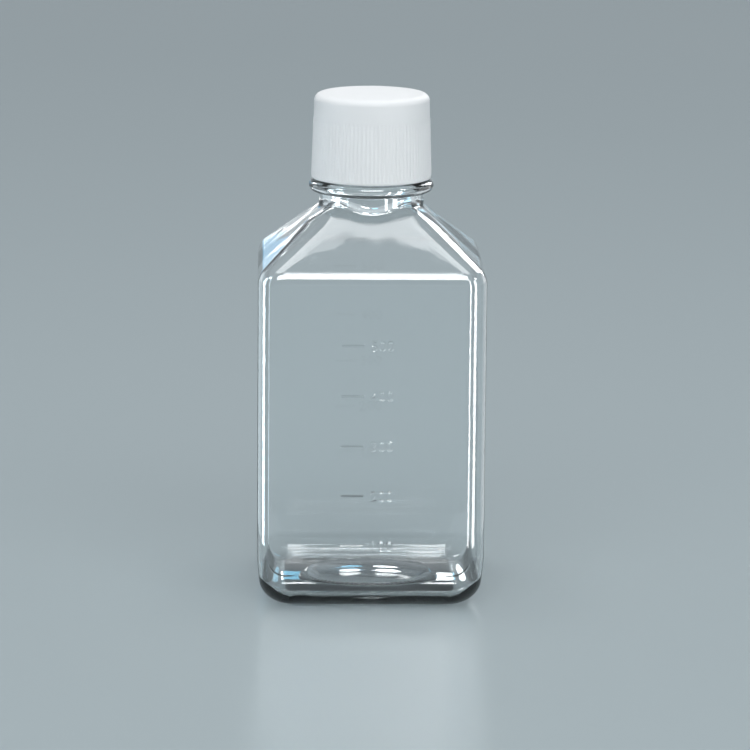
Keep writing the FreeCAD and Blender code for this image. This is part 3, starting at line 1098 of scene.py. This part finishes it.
class BOTTLE_OT_studio(bpy.types.Operator):
    """Make the floor, the lamps, the surroundings and the camera"""

    bl_idname = "media_bottle.studio"
    bl_label = "Studio"

    def execute(self, context):
        settings = context.scene.media_bottle
        studio = settings.studio
        mesh = bmesh.new()
        bmesh.ops.create_grid(mesh, x_segments=8, y_segments=8, size=studio.floor_size / 2)
        data = bpy.data.meshes.new("floor")
        mesh.to_mesh(data)
        mesh.free()
        floor = bpy.data.objects.new("floor", data)
        context.scene.collection.objects.link(floor)
        data.materials.append(floor_surface(settings.finishes.floor))

        middle = (0, 0, 0.09)
        strip_height = 0.18
        lamp = studio.lamp
        blue = (0.78, 0.92, 1.0)
        white = (1, 1, 1)
        soft_lamp("overhead_softbox", (0, 0.166, 1.2), (0, 0.166, 0), (0.80, 0.48), 3 * lamp)
        front = soft_lamp("front_softbox", (0.1, -1.15, 0.85), middle, (2.0, 0.8), 2.05 * lamp)
        front.visible_glossy = front.visible_transmission = False
        glass_card("overhead_card", (0.01, 0.12, 1.19), (0.01, 0.12, 0), (0.16, 0.24), 34 * lamp)
        glass_card("front_overhead_card", (0.03, -0.29, 1.17), (0.03, -0.29, 0), (0.22, 0.38), 30 * lamp)
        glass_card("right_heel_card", (0.205, 4, 0.955), middle, (0.15, 0.11), 8 * lamp)
        glass_card("left_heel_card", (0.0, 4, 0.955), middle, (0.13, 0.11), 2.2 * lamp, (0.2, 0.6, 0.85))
        glass_card("left_back_card", (-0.03, 4, 1.3), middle, (0.15, 0.22), 4.5 * lamp)
        glass_card("right_back_card", (0.24, 4, 1.3), middle, (0.18, 0.22), 4.5 * lamp)
        glass_card("white_base_card", (-0.55, 4, 0.52), middle, (0.6, 0.75), 4 * lamp)
        glass_card("blue_base_card", (0.75, 4, 0.52), middle, (0.6, 0.75), 1.3 * lamp, (0.25, 0.6, 0.8))
        edge_card("left_high_card", (-0.44, -0.16, 0.52), middle, (0.14, 0.14), 24 * lamp, blue)
        edge_card("right_high_card", (0.44, -0.16, 0.52), middle, (0.12, 0.12), 20 * lamp)
        edge_card("blue_card", (-0.310, 0.95, 0.130), middle, (0.25, 0.11), 0.7 * lamp, (0.0, 0.42, 0.8))
        edge_card("shoulder_card", (0, -0.66, 0.86), middle, (0.62, 0.44), 15 * lamp)
        edge_card("ridge_card", (0.41, 0.71, 0.50), middle, (0.26, 0.46), 8 * lamp)
        for name, angle, reach, width, radiance, tint in (
            ("right_front_strip", 29.7, 0.137, 0.012, 18, white),
            ("right_side_strip", 48.8, 0.138, 0.025, 16, white),
            ("right_far_strip", 110.3, 0.127, 0.098, 0.9, white),
            ("left_front_strip", -51.2, 0.137, 0.0062, 9, blue),
            ("left_side_strip", -75.1, 0.132, 0.031, 20, blue),
            ("left_far_strip", -109.3, 0.127, 0.090, 1.6, blue),
        ):
            angle = math.radians(angle)
            place = (reach * math.sin(angle), -reach * math.cos(angle), middle[2])
            edge_card(name, place, middle, (width, strip_height), radiance * lamp, tint)
        # The edge cards light the pieces only, so that the floor doesn't mirror them.
        pieces = bpy.data.collections.new("pieces")
        for item in context.scene.objects:
            if item.type == "MESH" and item != floor:
                pieces.objects.link(item)
            elif not (item.visible_diffuse or item.visible_transmission):
                item.light_linking.receiver_collection = pieces
        surroundings(studio.ambient)

        view = bpy.data.cameras.new("camera")
        view.lens = studio.lens
        view.sensor_width = 36
        view.clip_end = 100
        camera = bpy.data.objects.new("camera", view)
        context.scene.collection.objects.link(camera)
        turn = Matrix.Rotation(-studio.turn, 4, "Z")
        tilt = Matrix.Rotation(math.pi / 2 - studio.pitch, 4, "X") @ Matrix.Rotation(studio.roll, 4, "Z")
        camera.location = turn @ Vector((studio.aside, -studio.distance, studio.height))
        camera.rotation_euler = (turn @ tilt).to_euler()
        context.scene.camera = camera
        context.scene.view_settings.view_transform = "Standard"
        return {"FINISHED"}


class BOTTLE_PT_panel(bpy.types.Panel):
    """The bottle's pieces, in the order in which they are made"""

    bl_idname = "BOTTLE_PT_panel"
    bl_label = "Square media bottle"
    bl_space_type = "VIEW_3D"
    bl_region_type = "UI"
    bl_category = "Bottle"

    def draw(self, context):
        for step in STEPS:
            self.layout.operator(step.bl_idname)


STEPS = (BOTTLE_OT_bottle, BOTTLE_OT_cap, BOTTLE_OT_liner, BOTTLE_OT_studio)
GROUPS = (
    BodySizes, PushUpSizes, NeckSizes, MarkSizes, CapSizes, LinerSizes, Finishes, StudioSettings,
    BottleSettings,
)


def register():
    """Adds the settings, the operators and the panel."""
    for item in (*GROUPS, *STEPS, BOTTLE_PT_panel):
        bpy.utils.register_class(item)
    bpy.types.Scene.media_bottle = PointerProperty(type=BottleSettings)


def unregister():
    """Takes them away again."""
    del bpy.types.Scene.media_bottle
    for item in reversed((*GROUPS, *STEPS, BOTTLE_PT_panel)):
        bpy.utils.unregister_class(item)


def main():
    """Builds the bottle and its studio."""
    register()
    bpy.ops.media_bottle.bottle()
    bpy.ops.media_bottle.cap()
    bpy.ops.media_bottle.liner()
    bpy.ops.media_bottle.studio()


if __name__ == "__main__":
    main()
